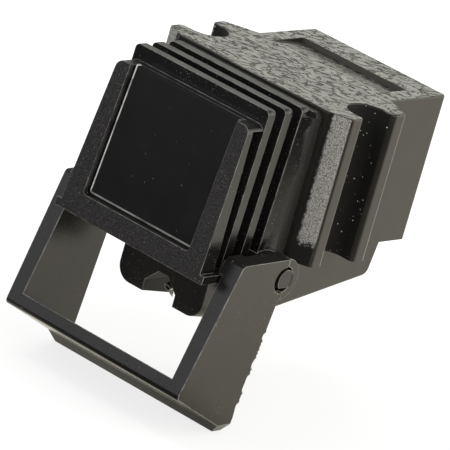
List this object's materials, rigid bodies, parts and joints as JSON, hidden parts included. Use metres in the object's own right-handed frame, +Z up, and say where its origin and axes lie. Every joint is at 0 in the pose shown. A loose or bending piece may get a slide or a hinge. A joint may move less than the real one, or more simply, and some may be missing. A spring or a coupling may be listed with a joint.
{
  "type": "turntable stylus cartridge",
  "caption": "Black plastic phono cartridge with open screw notches, a ribbed pull-out stylus holder, a bare face plate and a flip-down stylus guard.",
  "frame": {"origin": "on the mounting face, midway between the two screw notches", "axes": "+Z up out of the mounting face, +Y to the rear terminals, -Y to the face plate, +X to the right seen from the front"},
  "size_m": [0.0142, 0.0209, 0.0192],
  "materials": {
    "body_plastic": "grained moulded black plastic",
    "holder_plastic": "polished black plastic",
    "guard_plastic": "semi-gloss black plastic",
    "plate_plastic": "smooth black plate",
    "terminal_plastic": "matt moulded insulator",
    "pin_plating": "plated contact",
    "screen_metal": "annealed nickel-iron sheet",
    "core_iron": "laminated soft iron",
    "coil_copper": "enamelled copper winding",
    "bobbin_plastic": "natural nylon",
    "socket_metal": "drawn tube",
    "shank_metal": "nickel-plated tube",
    "wire_steel": "drawn wire",
    "bearing_rubber": "soft rubber",
    "cantilever_alloy": "bright drawn tube",
    "magnet_alloy": "ground magnet",
    "tip_stone": "polished stone"
  },
  "bodies": {
    "cartridge_body": {"body_shell": "body_plastic", "terminal_block": "terminal_plastic", "terminal_pin_left_signal": "pin_plating", "terminal_pin_left_ground": "pin_plating", "terminal_pin_right_signal": "pin_plating", "terminal_pin_right_ground": "pin_plating", "magnetic_screen": "screen_metal", "core_left_channel": "core_iron", "core_right_channel": "core_iron", "socket_tube": "socket_metal", "bobbin_left_upper": "bobbin_plastic", "bobbin_left_lower": "bobbin_plastic", "bobbin_right_upper": "bobbin_plastic", "bobbin_right_lower": "bobbin_plastic", "coil_left_upper": "coil_copper", "coil_left_lower": "coil_copper", "coil_right_upper": "coil_copper", "coil_right_lower": "coil_copper"},
    "stylus_holder": {"stylus_grip": "holder_plastic", "name_plate": "plate_plastic", "stylus_shank": "shank_metal", "shank_plug": "shank_metal", "tie_wire": "wire_steel", "suspension_bearing": "bearing_rubber"},
    "guard": {"stylus_guard": "guard_plastic"},
    "cantilever": {"cantilever_tube": "cantilever_alloy", "magnet": "magnet_alloy", "diamond_tip": "tip_stone"}
  },
  "joints": [
    {"name": "stylus_pull", "type": "slide", "parent": "cartridge_body", "child": "stylus_holder", "axis": [0, -0.9855, -0.1695], "range_m": [0, 0.012]},
    {"name": "guard_flip", "type": "hinge", "parent": "stylus_holder", "child": "guard", "pos_m": [0, -0.00433, -0.00969], "axis": [-1, 0, 0], "range_deg": [0, 82]},
    {"name": "cantilever_flex", "type": "hinge", "parent": "stylus_holder", "child": "cantilever", "pos_m": [0, -0.00219, -0.01125], "axis": [-1, 0, 0], "range_deg": [-2, 6], "stiffness_Nm_per_rad": 0.00088}
  ]
}
